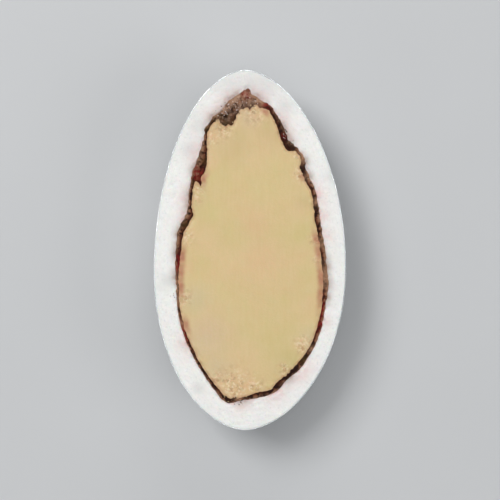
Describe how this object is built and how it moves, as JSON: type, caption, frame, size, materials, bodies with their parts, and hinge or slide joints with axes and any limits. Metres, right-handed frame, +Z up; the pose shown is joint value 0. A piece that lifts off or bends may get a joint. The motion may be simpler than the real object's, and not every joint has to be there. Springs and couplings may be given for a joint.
{
  "type": "sugared almond half",
  "caption": "Lengthwise half of a silver-coated sugared almond, cut face up: a thin mirror-silver coat, a white sugar shell, brown almond skin and a cream kernel.",
  "frame": {"origin": "centre of the outline at the base, on the small flat spot under the rounded back", "axes": "+Z up, out of the cut face; +Y towards the pointed tip; +X to the right as seen from above with the tip up"},
  "size_m": [0.016, 0.03, 0.0061],
  "materials": {
    "silver": "mirror-bright silver coat with a faint grain",
    "sugar": "matt white hard sugar, fine crystals where it is cut",
    "skin": "thin, dark red-brown, papery and crinkled",
    "kernel": "smooth, slightly waxy cream where it is cut"
  },
  "bodies": {
    "root": {"silver_coat": "silver", "sugar_shell": "sugar", "almond_skin": "skin", "almond_kernel": "kernel"}
  },
  "joints": []
}
